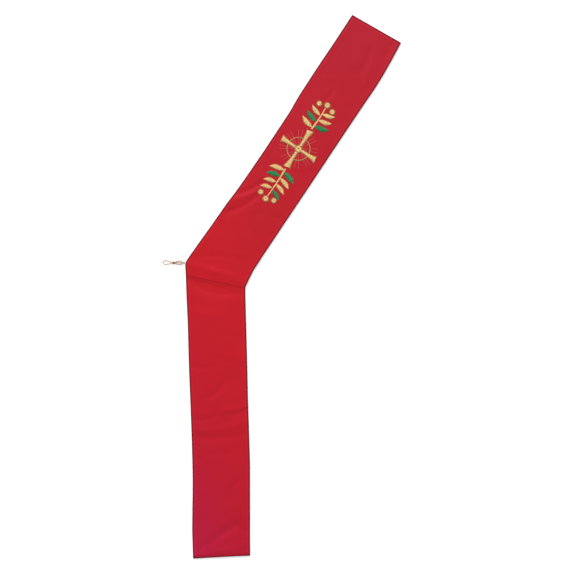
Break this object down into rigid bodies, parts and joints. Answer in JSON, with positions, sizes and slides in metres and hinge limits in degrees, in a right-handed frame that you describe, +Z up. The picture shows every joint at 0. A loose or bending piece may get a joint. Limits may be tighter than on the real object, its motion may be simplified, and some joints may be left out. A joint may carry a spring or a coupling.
{
  "type": "clerical stole",
  "caption": "Deacon's stole laid flat: a long red band seamed at the hip, front lying on back, with embroidery on the shoulder length and thin cord loops at the hip corner.",
  "frame": {"origin": "middle of the cloth's own box in plan, on the surface that the stole lies on", "axes": "+Z up off the surface, out of the front; +Y from the hem towards the shoulder end; +X to the right seen from above, the side that the shoulder length leans to"},
  "size_m": [0.5819, 1.3254, 0.0062],
  "materials": {
    "front_cloth": "red satin-weave cloth with a soft sheen, pressed edges and faint creases; gold, green and rose satin stitch on the shoulder length",
    "back_cloth": "the same red satin-weave cloth, plain",
    "cord": "thin twisted cream cord, matt",
    "binding_thread": "brown sewing thread wound tightly round the cord",
    "gold_thread": "pale gold rayon embroidery thread, glossy along the stitch, with darker antique gold at the edges",
    "green_thread": "green rayon embroidery thread, glossy along the stitch",
    "rose_thread": "rose embroidery thread in single fine lines",
    "seam_thread": "red sewing thread, a shade darker than the cloth"
  },
  "bodies": {
    "root": {"front_shoulder_band": "front_cloth", "front_hip_band": "front_cloth", "back_shoulder_band": "back_cloth", "back_hip_band": "back_cloth", "hip_loop_cord": "cord", "hip_loop_binding": "binding_thread"}
  },
  "joints": []
}
